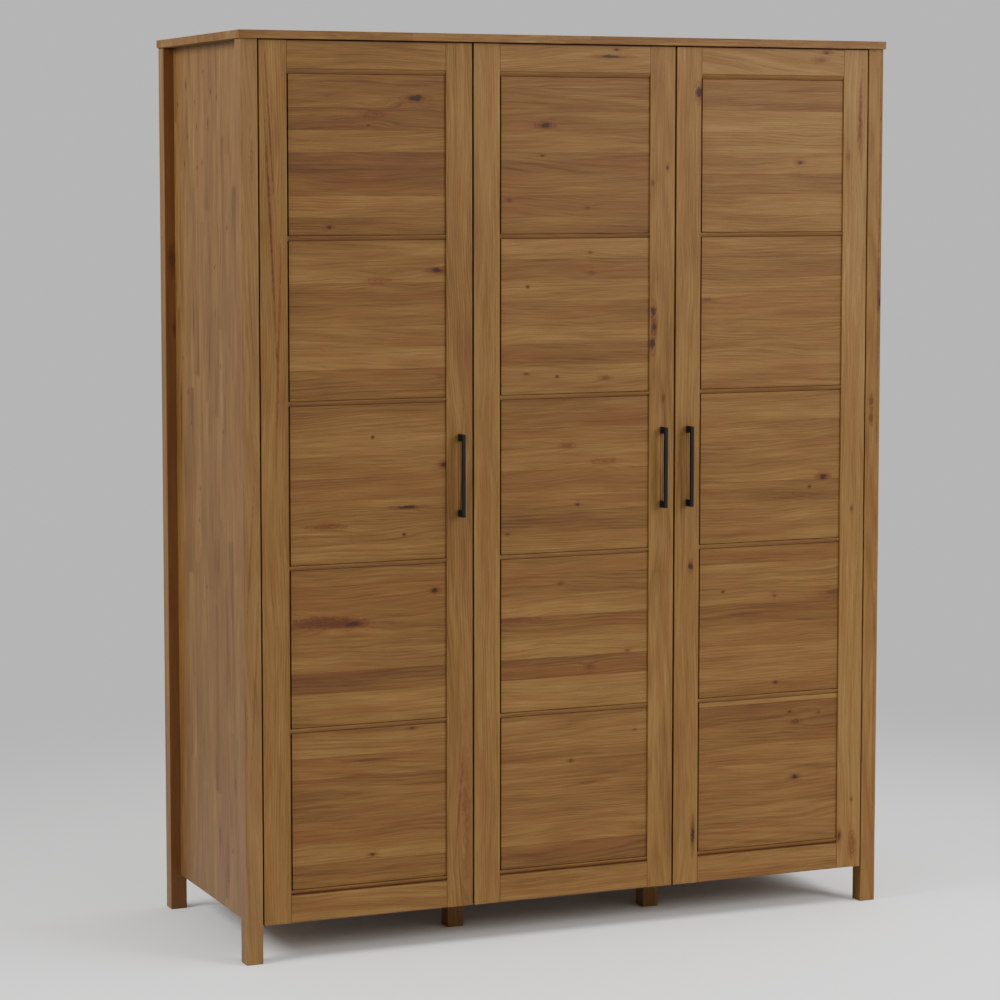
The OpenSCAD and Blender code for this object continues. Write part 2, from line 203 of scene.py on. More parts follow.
# Knots, by node: place along x (or y on a side) and up z as shares of the node's box, half its length
# along the grain and half its width across it in mm, darkness and redness
KNOTS = {
    "left_door_board_5": (
        (0.80, 0.85, 20, 8, 0.9, 0.7),
        (0.55, 0.75, 20, 12, 0.0, 0.8),
        (0.51, 0.68, 4, 3, 0.7, 0.1),
        (0.27, 0.06, 6, 5, 0.8, 0.5),
    ),
    "left_door_board_4": (
        (0.93, 0.80, 16, 6, 0.9, 0.5),
        (0.57, 0.74, 25, 10, 0.0, 0.6),
        (0.95, 0.14, 8, 8, 0.0, 0.6),
    ),
    "left_door_board_3": (
        (0.97, 0.60, 9, 8, 0.8, 0.4),
        (0.74, 0.34, 28, 4, 0.9, 0.4),
        (0.25, 0.24, 25, 5, 0.1, 0.8),
    ),
    "left_door_board_2": (
        (0.91, 0.82, 8, 6, 1.0, 0.4),
        (0.22, 0.66, 32, 11, 0.35, 1.0),
        (0.40, 0.64, 22, 8, 0.85, 0.9),
    ),
    "left_door_board_1": (
        (0.52, 0.19, 8, 4, 0.7, 0.4),
        (0.77, 0.97, 8, 4, 0.7, 0.3),
        (0.50, 0.79, 35, 3, 0.5, 0.6),
    ),
    "middle_door_board_5": (
        (0.31, 0.69, 14, 7.5, 0.9, 0.9),
        (0.29, 0.50, 6, 3, 0.7, 0.2),
        (0.08, 0.22, 6, 5, 0.6, 0.4),
        (0.58, 0.17, 7, 5, 0.5, 0.3),
    ),
    "middle_door_board_4": (
        (0.60, 0.90, 6, 4, 0.5, 0.3),
        (0.61, 0.77, 8, 5, 0.3, 0.5),
        (0.19, 0.14, 6, 4, 0.6, 0.3),
        (0.70, 0.10, 10, 5, 0.4, 0.5),
    ),
    "middle_door_board_3": (
        (0.45, 0.69, 12, 6, 0.3, 0.6),
        (0.69, 0.58, 26, 9, 0.0, 0.6),
        (0.52, 0.31, 5, 4, 0.8, 0.2),
        (0.07, 0.14, 5, 4, 0.6, 0.6),
    ),
    "middle_door_board_2": (
        (0.41, 0.82, 7, 5, 0.5, 0.5),
        (0.60, 0.27, 8, 6, 0.3, 0.7),
        (0.85, 0.36, 6, 4, 0.5, 0.3),
        (0.12, 0.60, 36, 5, 0.1, 0.7),
    ),
    "middle_door_board_1": (
        (0.48, 0.68, 5, 4, 0.6, 0.7),
        (0.90, 0.85, 6, 4, 0.5, 0.3),
        (0.59, 0.53, 26, 3, 0.5, 0.4),
    ),
    "right_door_board_5": ((0.69, 0.46, 8, 5, 0.7, 0.4),),
    "right_door_board_4": ((0.07, 0.59, 12, 4, 0.5, 0.3),),
    "right_door_board_3": ((0.87, 0.42, 11, 8, 0.95, 0.4),),
    "right_door_board_2": (
        (0.55, 0.08, 6, 5, 0.7, 0.3),
        (0.54, 0.66, 5, 4, 0.6, 0.2),
        (0.97, 0.66, 30, 6, 0.6, 0.5),
    ),
    "right_door_board_1": (
        (0.69, 0.82, 13, 6, 0.69, 0.5),
        (0.65, 0.89, 5, 3, 0.8, 0.2),
        (0.85, 0.87, 5, 3, 0.6, 0.3),
        (0.69, 0.45, 9, 6, 0.85, 0.4),
    ),
    "middle_door_top_rail": ((0.73, 0.60, 30, 4, 0.8, 0.4), (0.77, 0.86, 6, 3, 0.8, 0.3)),
    "right_door_top_rail": ((0.87, 0.88, 9, 4, 0.7, 0.4), (0.83, 0.60, 12, 6, 0.3, 0.6)),
    "middle_door_lock_stile": (
        (0.14, 0.690, 13, 8, 0.9, 0.6),
        (0.18, 0.672, 10, 7, 0.8, 0.8),
        (0.12, 0.652, 14, 8, 0.9, 0.6),
        (0.70, 0.859, 6, 4, 0.7, 0.4),
        (0.10, 0.841, 6, 4, 0.6, 0.4),
        (0.57, 0.587, 8, 4, 0.6, 0.4),
    ),
    "right_door_lock_stile": (
        (0.91, 0.947, 13, 9, 1.0, 0.6),
        (0.66, 0.385, 9, 6, 0.9, 0.5),
        (0.81, 0.058, 24, 5, 0.9, 0.5),
    ),
    "right_door_hinge_stile": (
        (0.68, 0.925, 60, 5, 0.0, 0.8, 0.05),
        (0.75, 0.895, 45, 6, 0.0, 0.7),
        (0.20, 0.872, 9, 5, 0.3, 0.4),
        (0.50, 0.445, 5, 4, 0.6, 0.3),
        (0.62, 0.085, 5, 4, 0.6, 0.3),
        (0.08, 0.040, 12, 6, 0.8, 0.4),
        (0.66, 0.028, 18, 9, 0.2, 0.7),
    ),
    "left_door_hinge_stile": (
        (0.36, 0.91, 130, 2.5, 0.0, 0.8, -0.06),
        (0.30, 0.84, 110, 2.5, 0.0, 0.8, -0.05),
        (0.46, 0.75, 150, 3, 0.0, 0.7, -0.04),
        (0.66, 0.66, 140, 3, 0.0, 0.6, 0.03),
    ),
    "front_left_post": (
        (0.62, 0.87, 40, 5, 0.0, 0.6),
        (0.40, 0.45, 90, 2.5, 0.0, 0.6, 0.06),
        (0.60, 0.30, 110, 2.5, 0.0, 0.6, 0.05),
    ),
    "back_left_post": ((0.45, 0.76, 18, 8, 0.5, 0.7), (0.60, 0.68, 10, 6, 0.6, 0.6)),
    "front_right_post": (
        (0.85, 0.88, 170, 2.5, 0.0, 0.7),
        (0.80, 0.66, 200, 2.5, 0.0, 0.6),
        (0.78, 0.25, 260, 2.5, 0.0, 0.6),
        (0.95, 0.709, 12, 6, 0.9, 0.5),
        (0.40, 0.593, 10, 6, 0.6, 0.7),
        (0.40, 0.573, 10, 6, 0.6, 0.7),
    ),
    "left_door_lock_stile": (
        (0.70, 0.16, 90, 13, 0.0, 0.3),
        (0.80, 0.07, 70, 12, 0.0, 0.35),
        (0.45, 0.11, 70, 3, 0.0, 0.5, 0.08),
    ),
    "left_side_panel": (
        (0.82, 0.954, 8, 5, 0.8, 0.5),
        (0.47, 0.945, 6, 4, 0.8, 0.5),
        (0.39, 0.938, 5, 4, 0.7, 0.5),
        (0.51, 0.909, 7, 5, 0.8, 0.5),
        (0.67, 0.905, 5, 4, 0.7, 0.5),
        (0.85, 0.863, 6, 4, 0.7, 0.5),
        (0.60, 0.864, 5, 4, 0.7, 0.5),
        (0.26, 0.790, 6, 4, 0.7, 0.5),
        (0.10, 0.955, 9, 4, 0.6, 0.4),
        (0.10, 0.877, 7, 4, 0.5, 0.4),
        (0.43, 0.690, 12, 4, 0.5, 0.2),
        (0.93, 0.588, 30, 5, 0.6, 0.5),
        (0.93, 0.550, 34, 5, 0.6, 0.5),
        (0.20, 0.152, 20, 7, 0.55, 0.4),
        (0.42, 0.080, 26, 8, 0.55, 0.4),
        (0.31, 0.042, 20, 9, 0.55, 0.4),
    ),
}


# ---- Camera, lights and floor ----


def make_camera():
    """The photograph's viewpoint: from the left, a little below the top, with a long lens."""
    data = bpy.data.cameras.new("camera")
    data.sensor_width = 36
    data.lens = LENS
    data.shift_y = SHIFT_Y
    camera = bpy.data.objects.new("camera", data)
    camera.location = CAMERA_PLACE
    camera.rotation_euler = (math.radians(CAMERA_PITCH), 0, math.radians(CAMERA_TURN))
    bpy.context.collection.objects.link(camera)
    bpy.context.scene.camera = camera


def area_light(name, place, target, size, power):
    """A square soft white light at a place, aimed at a target."""
    data = bpy.data.lights.new(name, "AREA")
    data.shape = "SQUARE"
    data.size = size
    data.energy = power
    light = bpy.data.objects.new(name, data)
    light.location = place
    light.rotation_euler = (Vector(target) - Vector(place)).to_track_quat("-Z", "Y").to_euler()
    bpy.context.collection.objects.link(light)


def make_world():
    """A pale even room, which lights the wardrobe less strongly than it looks behind it."""
    world = bpy.data.worlds.new("studio")
    bpy.context.scene.world = world
    world.use_nodes = True
    n = Nodes(world.node_tree)
    background = n.tree.nodes["Background"]
    background.inputs["Color"].default_value = (*ROOM_COLOUR, 1)
    seen = n.add("ShaderNodeLightPath").outputs["Is Camera Ray"]
    strength = n.math("MULTIPLY_ADD", seen, ROOM_SEEN - ROOM_GLOW, ROOM_GLOW)
    n.link(strength, background.inputs["Strength"])


def make_lights():
    """A broad light from the front right, one from the left side and one over the floor."""
    area_light("right", (3.0, -4.0, 2.7), (0.4, 0, 1.3), 2.2, 154)
    area_light("left", (-4.2, -0.6, 3.4), (-0.7, 0, 1.3), 2.0, 190)
    area_light("above", (1.4, -0.9, 4.6), (1.4, -0.9, 0), 4.2, 218)


def make_floor():
    """A wide pale floor that fades into the room, so that no horizon shows from any side."""
    bpy.ops.mesh.primitive_circle_add(vertices=96, radius=FLOOR_RADIUS, fill_type="NGON")
    floor = bpy.context.object
    floor.name = "floor"
    material = bpy.data.materials.new("floor")
    material.use_nodes = True
    n = Nodes(material.node_tree)
    place = n.add("ShaderNodeTexCoord").outputs["Object"]
    distance = n.vector("LENGTH", n.vector("SUBTRACT", place, FADE_CENTRE))
    shader = n.tree.nodes["Principled BSDF"]
    shader.inputs["Base Color"].default_value = FLOOR_COLOUR
    shader.inputs["Roughness"].default_value = 0.75
    clear = n.add("ShaderNodeBsdfTransparent")
    blend = n.add("ShaderNodeMixShader")
    n.link(n.smooth(distance, FADE_START, FADE_END), blend.inputs[0])
    n.link(shader.outputs[0], blend.inputs[1])
    n.link(clear.outputs[0], blend.inputs[2])
    n.link(blend.outputs[0], n.output().inputs["Surface"])
    floor.data.materials.append(material)


# ---- Node trees ----


class Nodes:
    """Writes a node tree as if it were a formula."""

    def __init__(self, tree):
        self.tree = tree

    def link(self, source, target):
        self.tree.links.new(source, target)

    def set(self, socket, value):
        """Links a socket to another node's output, or gives it a constant."""
        if isinstance(value, bpy.types.NodeSocket):
            self.link(value, socket)
        else:
            socket.default_value = value

    def add(self, kind, inputs=None, **settings):
        node = self.tree.nodes.new(kind)
        for key, value in settings.items():
            setattr(node, key, value)
        for key, value in (inputs or {}).items():
            self.set(node.inputs[key], value)
        return node

    def output(self):
        return next(node for node in self.tree.nodes if node.type == "OUTPUT_MATERIAL")

    def math(self, operation, *values, clamp=False):
        node = self.add("ShaderNodeMath", operation=operation, use_clamp=clamp)
        for socket, value in zip(node.inputs, values):
            self.set(socket, value)
        return node.outputs[0]

    def total(self, *values):
        """The sum of any number of values."""
        result = values[0]
        for value in values[1:]:
            result = self.math("ADD", result, value)
        return result

    def vector(self, operation, *values):
        node = self.add("ShaderNodeVectorMath", operation=operation)
        for socket, value in zip(node.inputs, values):
            self.set(socket, value)
        return node.outputs["Value" if operation == "LENGTH" else "Vector"]

    def combine(self, x, y, z):
        return self.add("ShaderNodeCombineXYZ", {"X": x, "Y": y, "Z": z}).outputs[0]

    def separate(self, vector):
        return self.add("ShaderNodeSeparateXYZ", {"Vector": vector}).outputs

    def noise(self, position, scale=(1, 1, 1), detail=2.0, roughness=0.5):
        """Noise from -0.5 to 0.5, with its own scale along each axis."""
        node = self.add(
            "ShaderNodeTexNoise",
            {
                "Vector": self.vector("MULTIPLY", position, scale),
                "Scale": 1.0,
                "Detail": detail,
                "Roughness": roughness,
            },
        )
        return self.math("SUBTRACT", node.outputs[0], 0.5)

    def random(self, value):
        """A random number from 0 to 1 for each value."""
        node = self.add("ShaderNodeTexWhiteNoise", noise_dimensions="1D")
        self.set(node.inputs["W"], value)
        return node.outputs["Value"]

    def smooth(self, value, low, high, start=0.0, end=1.0):
        """Runs smoothly from start to end as value goes from low to high."""
        node = self.add(
            "ShaderNodeMapRange",
            {"Value": value, "From Min": low, "From Max": high, "To Min": start, "To Max": end},
            interpolation_type="SMOOTHSTEP",
        )
        return node.outputs[0]

    def ramp(self, value, stops, interpolation="LINEAR"):
        """Looks a value up in a row of colour stops, each a place and a colour."""
        node = self.add("ShaderNodeValToRGB", {"Fac": value})
        elements = node.color_ramp.elements
        node.color_ramp.interpolation = interpolation
        while len(elements) < len(stops):
            elements.new(0.5)
        for element, (place, colour) in zip(elements, stops):
            element.position = place
            element.color = (*colour, 1)
        return node.outputs["Color"]

    def mix(self, factor, a, b):
        """A colour between two, each of them a constant or another node's output."""
        node = self.add("ShaderNodeMix", data_type="RGBA")
        self.set(node.inputs[0], factor)
        for socket, value in ((node.inputs[6], a), (node.inputs[7], b)):
            self.set(socket, (*value, 1) if isinstance(value, tuple) else value)
        return node.outputs[2]


# ---- Wood ----


def make_grain_group():
    """The inside of one stave of oak, cut from a log: growth rings round a pith, streaks and pores.

    Along, Across and Depth are the place in the stave, in metres. Seed picks another piece of the log.
    """
    group = bpy.data.node_groups.new("oak_grain", "ShaderNodeTree")
    for name in ("Along", "Across", "Depth", "Seed"):
        group.interface.new_socket(name, in_out="INPUT", socket_type="NodeSocketFloat")
    for name in ("Tone", "Red", "Pores", "Relief"):
        group.interface.new_socket(name, in_out="OUTPUT", socket_type="NodeSocketFloat")
    n = Nodes(group)
    given = n.add("NodeGroupInput").outputs
    along, across, depth, seed = (given[i] for i in range(4))

    # every seed gives another stretch of the log, and another cut through it
    shift = n.math("MULTIPLY", seed, 61.7)
    far = n.math("ADD", along, shift)
    straight = n.combine(far, n.math("ADD", across, shift), depth)
    cut = n.random(seed)
    cut_2 = n.random(n.math("ADD", seed, 17.3))
    wander = n.noise(straight, WANDER, 1.0)
    waver = n.noise(straight, WAVER, 2.0)
    across = n.total(
        across,
        n.math("MULTIPLY", wander, WANDER_REACH),
        n.math("MULTIPLY", waver, WAVER_REACH),
    )
    place = n.combine(far, n.math("ADD", across, shift), depth)

    pith_side = n.math("MULTIPLY", n.math("SUBTRACT", cut, 0.5), PITH_SIDE)
    pith_depth = n.math("MULTIPLY_ADD", cut_2, PITH_SPREAD, PITH_DEPTH)
    lean = n.math("MULTIPLY", n.math("SUBTRACT", cut_2, 0.5), PITH_LEAN)
    side = n.math("ADD", across, pith_side)
    back = n.total(depth, pith_depth, n.math("MULTIPLY", along, lean))
    radius = n.vector("LENGTH", n.combine(side, back, 0.0))
    spacing = n.math("MULTIPLY_ADD", cut, RING_SPREAD, RING)
    year = n.math("FRACT", n.math("DIVIDE", radius, spacing))
    early = n.smooth(year, 0.0, 0.40, 1.0, 0.0)
    late = n.smooth(year, 0.66, 1.0, 0.0, 0.7)
    vividness = n.smooth(n.noise(place, VIVIDNESS, 1.0), -0.20, 0.22, 0.15, 1.0)
    rings = n.math("MULTIPLY", n.math("ADD", early, late), vividness)

    band = n.noise(place, BAND, 2.0, 0.55)
    streak = n.noise(place, STREAK, 3.0, 0.62)
    fibre = n.noise(place, FIBRE, 3.0, 0.6)
    tone = n.total(
        n.math("MULTIPLY", band, BAND_SHADE),
        n.math("MULTIPLY", streak, STREAK_SHADE),
        n.math("MULTIPLY", fibre, FIBRE_SHADE),
        n.math("MULTIPLY", rings, RING_SHADE),
        LEVEL_SHADE,
    )
    blush = n.smooth(n.noise(place, BLUSH, 2.0), -0.04, 0.20)

    # pores: short dark dashes, thickest in the early wood
    dash = n.noise(place, PORE, 1.0)
    crowd = n.math("MULTIPLY_ADD", early, 0.10, -0.02)
    pores = n.smooth(n.math("ADD", dash, crowd), 0.14, 0.24)
    relief = n.total(n.math("MULTIPLY", pores, -1.0), n.math("MULTIPLY", fibre, 0.8))

    results = n.add("NodeGroupOutput")
    for socket, value in zip(results.inputs, (tone, blush, pores, relief)):
        n.link(value, socket)
    return group


def knots(n, along, across, below, spots, wobble):
    """How knots push the grain aside, and the masks of their red halos and dark cores.

    A knot is a cone that narrows with the depth below the face. With no darkness it is a red streak.
    """
    taper = n.math("DIVIDE", below, KNOT_DEPTH)
    bends, reds, cores = [0.0], [0.0], [0.0]
    for at_along, at_across, half_length, half_width, darkness, redness, *slope in spots:
        off_along = n.math("SUBTRACT", along, at_along)
        off_across = n.math("SUBTRACT", across, at_across)
        if slope:
            off_across = n.math("MULTIPLY_ADD", off_along, -slope[0], off_across)
        x = n.math("DIVIDE", off_along, half_length)
        y = n.math("DIVIDE", off_across, half_width)
        calm = n.math("ADD", taper, n.vector("LENGTH", n.combine(n.math("MULTIPLY", x, 0.6), y, 0.0)))
        rough = n.math("MULTIPLY_ADD", wobble, 0.55, calm)
        near = n.math("ADD", taper, n.vector("LENGTH", n.combine(x, n.math("ADD", y, wobble), 0.0)))
        bends.append(n.math("MULTIPLY", off_across, n.smooth(calm, *KNOT_PUSH, -0.90, 0.0)))
        halo_reach = KNOT_HALO_REACH if darkness else PALE_HALO_REACH
        red = n.smooth(rough, *halo_reach, max(redness, 0.75 * darkness), 0.0)
        if redness > 0.55:
            swirl = n.math("SINE", n.math("MULTIPLY", rough, KNOT_SWIRLS))
            red = n.math("MULTIPLY", red, n.math("MULTIPLY_ADD", swirl, 0.25, 0.85))
        reds.append(red)
        cores.append(n.smooth(near, *KNOT_CORE_REACH, darkness, 0.0))
        if darkness < 0.7:
            cores.append(n.smooth(near, *KNOT_HOLLOW_REACH, -0.5 * darkness, 0.0))
    return n.total(*bends), n.total(*reds), n.total(*cores)


def specks(n, along, across, seed, share):
    """Small dark knots strewn over a surface, as a mask."""
    cells = n.add(
        "ShaderNodeTexVoronoi",
        {
            "Vector": n.combine(
                n.math("MULTIPLY_ADD", along, SPECKS_ALONG, seed * 13.1),
                n.math("MULTIPLY_ADD", across, SPECKS_ACROSS, seed * 7.7),
                0.0,
            ),
            "Scale": 1.0,
        },
        voronoi_dimensions="2D",
    )
    chosen = n.math("LESS_THAN", n.separate(cells.outputs["Color"])[0], share)
    spot = n.smooth(cells.outputs["Distance"], 0.02, 0.10, 1.0, 0.0)
    return n.math("MULTIPLY", spot, chosen)


def stave_stops(low, high, letters, chance):
    """Colour stops that give each stave between two heights its shade, seed and redness.

    The staves are named from the top down, and the stops run from the bottom up.
    """
    span = high - low
    first = math.floor((LATTICE_TOP - high) / STAVE)
    last = math.floor((LATTICE_TOP - low) / STAVE)
    stops = []
    for index in range(last, first - 1, -1):
        shade, red = SHADES[letters[min(index - first, len(letters) - 1)]]
        shade += chance.uniform(-0.02, 0.02)
        start = max(0.0, (LATTICE_TOP - (index + 1) * STAVE - low) / span)
        stops.append((start, (0.5 + shade, chance.random(), red)))
    return stops


def board_staves(n, low, high, across, letters, seed):
    """Staves laid across a door's board: shade, redness, seed and place within the stave."""
    share = n.math("DIVIDE", n.math("SUBTRACT", across, low), high - low)
    stops = stave_stops(low, high, letters, random.Random(seed))
    looked_up = n.separate(n.ramp(share, stops, "CONSTANT"))
    row = n.math("FRACT", n.math("DIVIDE", n.math("SUBTRACT", LATTICE_TOP, across), STAVE))
    local = n.math("MULTIPLY", n.math("SUBTRACT", row, 0.5), STAVE)
    edge = n.math("SUBTRACT", STAVE / 2, n.math("ABSOLUTE", local))
    seam = n.smooth(edge, 0.0, SEAM, -0.16, 0.0)
    shade = n.total(looked_up[0], n.math("MULTIPLY", seam, looked_up[1]), -0.5)
    return shade, looked_up[2], n.math("MULTIPLY_ADD", looked_up[1], 9.0, seed * SEED_STEP), local


def finger_jointed_staves(n, along, across, seed):
    """Short staves joined end to end by fingers: shade, redness, seed and place within the stave."""
    row = n.math("DIVIDE", across, STAVE)
    column = n.math("FLOOR", row)
    teeth = n.math("PINGPONG", across, FINGER / 2)
    start = n.math("MULTIPLY", n.random(n.math("ADD", column, seed * 1.7)), 7.0)
    reach = n.math("MULTIPLY_ADD", teeth, 2.5, along)
    piece = n.math("FLOOR", n.math("MULTIPLY_ADD", reach, 1 / STAVE_LENGTH, start))
    key = n.total(n.math("MULTIPLY", column, 3.71), n.math("MULTIPLY", piece, 1.93), seed * 0.77)
    chance = n.random(key)
    chance_2 = n.random(n.math("ADD", key, 5.5))
    shade = n.math("MULTIPLY_ADD", chance, 0.13, -0.065)
    red = n.math("MULTIPLY", n.math("GREATER_THAN", chance_2, 0.75), 0.35)
    local = n.math("MULTIPLY", n.math("SUBTRACT", n.math("FRACT", row), 0.5), STAVE)
    return shade, red, n.math("MULTIPLY", chance_2, 9.0), local


def plain_wood(n, node, along, across, axes, low, high, seed):
    """One whole piece of wood, whose grain may run off at a slope: what a stave gives."""
    grain, side = axes
    local = n.math("SUBTRACT", across, (low[side] + high[side]) / 2)
    local = n.math("MULTIPLY_ADD", n.math("SUBTRACT", along, low[grain]), SLOPES.get(node, 0.0), local)
    return 0.0, 0.0, seed * SEED_STEP, local


def knot_places(node, axes, low, high):
    """A node's knots from the table, with their places and sizes in metres."""
    spots = []
    for part_x, part_z, half_length, half_width, *looks in KNOTS.get(node, ()):
        part = {Z: part_z, X: part_x, Y: part_x}
        at = [low[axis] + part[axis] * (high[axis] - low[axis]) for axis in axes]
        spots.append((*at, half_length * MM, half_width * MM, *looks))
    return spots


def stain_wood(n, colour, tone, halo, core, pores):
    """Adds the knots' red halos and dark cores and the pores to the oak's colour."""
    stain = n.math("SUBTRACT", halo, 0.22)
    stain = n.math("MULTIPLY", stain, n.math("MULTIPLY_ADD", tone, -1.8, 1.25))
    colour = n.mix(n.math("MAXIMUM", stain, 0.0, clamp=True), colour, KNOT_RED)
    colour = n.mix(n.math("MULTIPLY", core, 1.2, clamp=True), colour, KNOT_BROWN)
    colour = n.mix(n.smooth(core, 0.55, 0.95), colour, KNOT_CORE)
    return n.mix(n.math("MULTIPLY", pores, 0.30), colour, PORE_AND_SHADE_BROWN)


def oak(node, grain, across, depth, seed, shade=0.0, red=0.0, recess_shade=0.0, letters=None, mosaic=False,
        speckled=0.0, joint=0.1, gloss=0.22):
    """The oak of one piece, with its grain along one axis and its broad face facing another.

    Letters name a board's staves, mosaic makes short finger-jointed ones, and with neither it is one
    piece. Speckled is the share of cells that hold a small knot, and joint is how dark the oil in the
    joints is. Recess_shade is painted shade: how much darker and redder its front face alone is made,
    for a face that lies in shade in a recess.
    """
    low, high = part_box(node)
    material = bpy.data.materials.new("oak_" + node)
    material.use_nodes = True
    n = Nodes(material.node_tree)
    place = n.separate(n.add("ShaderNodeTexCoord").outputs["Object"])
    u, v, w = place[grain], place[across], place[depth]
    axes = (grain, across)

    if letters:
        staves = board_staves(n, low[across], high[across], v, letters, seed)
    elif mosaic:
        staves = finger_jointed_staves(n, u, v, seed)
    else:
        staves = plain_wood(n, node, u, v, axes, low, high, seed)
    stave_shade, stave_red, stave_seed, local = staves

    wobble = n.noise(n.combine(u, v, w), WOBBLE, 4.0, 0.68)
    wobble = n.math("MULTIPLY", wobble, KNOT_ROUGHNESS)
    below = n.math("SUBTRACT", w, low[depth])
    bend, halo, core = knots(n, u, v, below, knot_places(node, axes, low, high), wobble)

    group = n.add("ShaderNodeGroup", node_tree=GRAIN)
    given = (u, n.math("ADD", local, bend), below, stave_seed)
    for socket, value in zip(group.inputs, given):
        n.set(socket, value)
    tone, blush, pores, relief = group.outputs
    if mosaic:
        tone = n.math("MULTIPLY", tone, MOSAIC_CONTRAST)

    if speckled:
        speck = specks(n, u, v, seed, speckled)
        core = n.math("ADD", core, n.math("MULTIPLY", speck, 0.75))
        halo = n.math("ADD", halo, n.math("MULTIPLY", speck, 0.5))
    own_shade = 0.5 + shade + TONES.get(node, 0.0)
    colour = n.ramp(n.total(tone, stave_shade, own_shade), OAK_COLOURS)
    redness = n.total(n.math("MULTIPLY", blush, 0.42), n.math("MULTIPLY", stave_red, 0.5), halo, red)
    # painted shade: the front face alone is made darker and redder, for a face lying in shade in a
    # recess
    if recess_shade:
        front = n.smooth(w, low[depth], low[depth] + SHADED_FACE_DEPTH, recess_shade, 0.0)
        redness = n.math("ADD", redness, front)
    colour = n.mix(n.math("MULTIPLY", redness, 0.75, clamp=True), colour, RED_OAK)
    colour = stain_wood(n, colour, tone, halo, core, pores)
    if joint:
        oil = joint_lines(n, (u, v), axes, low, high, joint)
        colour = n.mix(oil, colour, PORE_AND_SHADE_BROWN)
    # painted shade: each thin bar is darkened towards its lower edge
    if node.endswith("_bars"):
        colour = n.mix(bar_shadow(n, v, low[across], high[across]), colour, PORE_AND_SHADE_BROWN)

    finish_wood(n, colour, pores, relief, gloss)
    return material


def joint_lines(n, places, axes, low, high, strength):
    """A thin dark line round a piece's face, where the oil gathers in the joints."""
    nearest = 1.0
    for place, axis in zip(places, axes):
        from_low = n.math("SUBTRACT", place, low[axis])
        from_high = n.math("SUBTRACT", high[axis], place)
        nearest = n.math("MINIMUM", nearest, n.math("MINIMUM", from_low, from_high))
    return n.smooth(nearest, JOINT_LINE / 2, JOINT_LINE, strength, 0.0)


def bar_shadow(n, height, low, high):
    """Painted shade: each of a door's six thin bars made darker towards its lower edge, where its face
    lies in shade.
    """
    pitch = (high - low - BAR_HEIGHT) / (BARS - 1)
    up = n.math("MODULO", n.math("SUBTRACT", height, low), pitch)
    return n.smooth(up, BAR_HEIGHT * 0.15, BAR_HEIGHT * 0.8, 0.50, 0.04)


def finish_wood(n, colour, pores, relief, gloss):
    """The satin oiled surface over a wood's colour."""
    shader = n.tree.nodes["Principled BSDF"]
    n.link(colour, shader.inputs["Base Color"])
    n.link(n.math("MULTIPLY_ADD", pores, 0.15, 0.54), shader.inputs["Roughness"])
    shader.inputs["Specular IOR Level"].default_value = gloss
    bump = n.add("ShaderNodeBump", {"Height": relief, "Strength": 0.22, "Distance": 0.0004})
    n.link(bump.outputs[0], shader.inputs["Normal"])


def plywood(node, grain, across, depth, seed):
    """Thin rotary-cut veneer: broad wavy figure, paler and matter than the solid oak."""
    material = bpy.data.materials.new("plywood_" + node)
    material.use_nodes = True
    n = Nodes(material.node_tree)
    axes = n.separate(n.add("ShaderNodeTexCoord").outputs["Object"])
    u, v, w = axes[grain], axes[across], axes[depth]
    place = n.vector("ADD", n.combine(u, v, w), (seed * 3.3, seed * 1.9, 0.0))
    wave = n.noise(place, PLY_WAVE, 2.0)
    figure = n.math("SINE", n.math("MULTIPLY_ADD", v, 150.0, n.math("MULTIPLY", wave, 70.0)))
    fibre = n.noise(place, PLY_FIBRE, 3.0)
    pores = n.smooth(n.noise(place, PLY_PORE, 1.0), 0.14, 0.24)
    tone = n.total(n.math("MULTIPLY", figure, 0.06), n.math("MULTIPLY", fibre, 0.35), wave, 0.5)
    colour = n.ramp(tone, PLY_COLOURS)
    colour = n.mix(n.math("MULTIPLY", pores, 0.25), colour, PORE_AND_SHADE_BROWN)
    shader = n.tree.nodes["Principled BSDF"]
    n.link(colour, shader.inputs["Base Color"])
    shader.inputs["Roughness"].default_value = 0.62
    bump = n.add("ShaderNodeBump", {"Height": fibre, "Strength": 0.15, "Distance": 0.0004})
    n.link(bump.outputs[0], shader.inputs["Normal"])
    return material


# ---- Metal ----


def black_paint():
    """Matt black powder coat, with its fine orange-peel texture."""
    material = bpy.data.materials.new("black_paint")
    material.use_nodes = True
    n = Nodes(material.node_tree)
    place = n.add("ShaderNodeTexCoord").outputs["Object"]
    peel = n.noise(place, (1400, 1400, 1400), 2.0)
    shader = n.tree.nodes["Principled BSDF"]
    colour = n.mix(n.smooth(peel, -0.2, 0.3), (0.004, 0.004, 0.004), (0.009, 0.009, 0.009))
    n.link(colour, shader.inputs["Base Color"])
    n.link(n.math("MULTIPLY_ADD", peel, 0.2, 0.56), shader.inputs["Roughness"])
    shader.inputs["Specular IOR Level"].default_value = 0.16
    bump = n.add("ShaderNodeBump", {"Height": peel, "Strength": 0.25, "Distance": 0.0002})
    n.link(bump.outputs[0], shader.inputs["Normal"])
    return material


def steel(name, colour, roughness, brushing):
    """Plated steel with faint brushing along one direction."""
    material = bpy.data.materials.new(name)
    material.use_nodes = True
    n = Nodes(material.node_tree)
    place = n.add("ShaderNodeTexCoord").outputs["Object"]
    lines = n.noise(place, brushing, 3.0)
    smudge = n.noise(place, (40, 40, 40), 2.0)
    shader = n.tree.nodes["Principled BSDF"]
    shader.inputs["Metallic"].default_value = 1.0
    dull = tuple(part * 0.82 for part in colour)
    n.link(n.mix(n.smooth(smudge, -0.2, 0.2), dull, colour), shader.inputs["Base Color"])
    rough = n.total(n.math("MULTIPLY", lines, 0.16), n.math("MULTIPLY", smudge, 0.10), roughness)
    n.link(rough, shader.inputs["Roughness"])
    bump = n.add("ShaderNodeBump", {"Height": lines, "Strength": 0.08, "Distance": 0.0002})
    n.link(bump.outputs[0], shader.inputs["Normal"])
    return material


# ---- Dressing the frame ----


